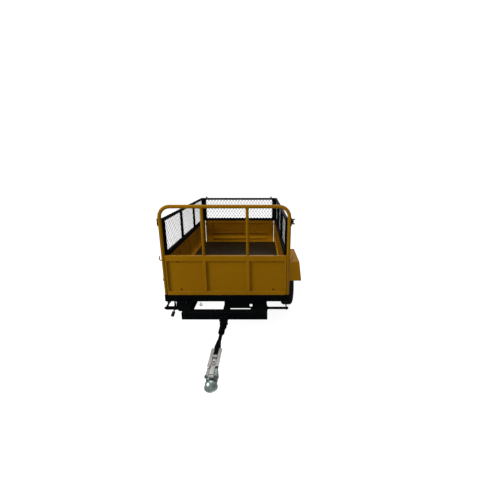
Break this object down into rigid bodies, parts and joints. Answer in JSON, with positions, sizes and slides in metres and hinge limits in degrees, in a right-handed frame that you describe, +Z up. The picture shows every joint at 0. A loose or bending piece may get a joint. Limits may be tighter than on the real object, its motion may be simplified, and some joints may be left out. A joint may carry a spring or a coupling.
{
  "type": "compact tractor trailer",
  "caption": "Small tipping box trailer with mesh sides, loop guard, mudguards and a swivelling ball coupling, towed by a garden tractor.",
  "frame": {"origin": "centre of the trailer's ground outline, on the ground between its nose and its tail", "axes": "+X to the trailer's right-hand side as the picture shows it, +Y from the coupling to the tailgate, +Z up"},
  "size_m": [1.4, 2.4944, 1.269],
  "materials": {
    "amber_paint": "satin",
    "black_paint": "satin",
    "wire": "satin",
    "zinc": "satin",
    "steel": "satin",
    "cast": "rough",
    "tyre": "matte",
    "rubber": "matte",
    "plastic": "matte"
  },
  "bodies": {
    "chassis": {"chassis_frame": "black_paint", "hole_plate": "black_paint", "corner_plate": "black_paint", "drawbar_tube": "black_paint", "swivel_housing": "black_paint", "axle_beam": "black_paint", "axle_bracket_left": "black_paint", "axle_bracket_right": "black_paint", "outrigger_left": "black_paint", "outrigger_right": "black_paint", "rest_pad_left": "rubber", "rest_pad_right": "rubber", "pivot_pin_left": "steel", "pivot_pin_right": "steel"},
    "coupling": {"swivel_shank": "steel", "shank_nut": "steel", "coupling_trough": "zinc", "coupling_head": "cast", "coupling_bolt_1": "zinc", "coupling_bolt_2": "zinc", "coupling_bolt_3": "zinc", "handle_pivot": "steel"},
    "handle": {"coupling_handle": "zinc"},
    "safety_catch": {"safety_catch": "zinc"},
    "jaw": {"ball_jaw": "cast"},
    "body_catch": {"body_catch": "black_paint", "catch_grip": "plastic"},
    "wheel_left": {"tyre_left": "tyre", "rim_left": "zinc", "hub_left": "black_paint", "hub_cap_left": "plastic"},
    "wheel_right": {"tyre_right": "tyre", "rim_right": "zinc", "hub_right": "black_paint", "hub_cap_right": "plastic"},
    "body": {"body_subframe": "black_paint", "catch_keeper": "black_paint", "eye_ring": "black_paint", "floor_plate": "black_paint", "headboard": "amber_paint", "loop_guard": "amber_paint", "side_board_left": "amber_paint", "side_board_right": "amber_paint", "mudguard_left": "amber_paint", "mudguard_right": "amber_paint", "side_mesh_left": "black_paint", "side_mesh_right": "black_paint", "side_net_left": "wire", "side_net_right": "wire", "loop_clamp_left": "zinc", "loop_clamp_right": "zinc", "tailgate_pin_left": "steel", "tailgate_pin_right": "steel"},
    "tailgate": {"tailgate": "amber_paint", "rear_mesh": "black_paint", "rear_net": "wire"},
    "drop_pin_left": {"drop_pin_left": "plastic"},
    "drop_pin_right": {"drop_pin_right": "plastic"},
    "latch_left": {"tailgate_latch_left": "zinc"},
    "latch_right": {"tailgate_latch_right": "zinc"}
  },
  "joints": [
    {"name": "wheel_spin_left", "type": "hinge", "parent": "chassis", "child": "wheel_left", "pos_m": [-0.588, 0.46575, 0.265], "axis": [1, 0, 0], "continuous": true},
    {"name": "wheel_spin_right", "type": "hinge", "parent": "chassis", "child": "wheel_right", "pos_m": [0.588, 0.46575, 0.265], "axis": [1, 0, 0], "continuous": true},
    {"name": "coupling_swivel", "type": "hinge", "parent": "chassis", "child": "coupling", "pos_m": [0, -0.75825, 0.385], "axis": [0, 1, 0], "continuous": true},
    {"name": "handle_lift", "type": "hinge", "parent": "coupling", "child": "handle", "pos_m": [0, -1.18775, 0.382], "axis": [1, 0, 0], "range_deg": [0, 65]},
    {"name": "jaw_slide", "type": "slide", "parent": "coupling", "child": "jaw", "axis": [0, 1, 0], "range_m": [0, 0.006]},
    {"name": "catch_slide", "type": "slide", "parent": "handle", "child": "safety_catch", "axis": [0, 1, 0], "range_m": [0, 0.006], "stiffness_N_per_m": 200},
    {"name": "body_tip", "type": "hinge", "parent": "chassis", "child": "body", "pos_m": [0, 0.59575, 0.399], "axis": [-1, 0, 0], "range_deg": [0, 40]},
    {"name": "catch_turn", "type": "hinge", "parent": "chassis", "child": "body_catch", "pos_m": [-0.432, -0.42875, 0.409], "axis": [-1, 0, 0], "range_deg": [0, 25]},
    {"name": "tailgate_swing", "type": "hinge", "parent": "body", "child": "tailgate", "pos_m": [0, 1.23825, 0.5101], "axis": [-1, 0, 0], "range_deg": [0, 135]},
    {"name": "latch_turn_left", "type": "hinge", "parent": "body", "child": "latch_left", "pos_m": [-0.513, 1.17875, 0.804], "axis": [-1, 0, 0], "range_deg": [0, 110]},
    {"name": "latch_turn_right", "type": "hinge", "parent": "body", "child": "latch_right", "pos_m": [0.513, 1.17875, 0.804], "axis": [-1, 0, 0], "range_deg": [0, 110]},
    {"name": "pin_drop_left", "type": "slide", "parent": "tailgate", "child": "drop_pin_left", "axis": [0, 0, -1], "range_m": [0, 0.008]},
    {"name": "pin_drop_right", "type": "slide", "parent": "tailgate", "child": "drop_pin_right", "axis": [0, 0, -1], "range_m": [0, 0.008]}
  ],
  "couplings": [
    {"joint": "jaw_slide", "follows": "handle_lift", "m_per_rad": 0.00526}
  ]
}
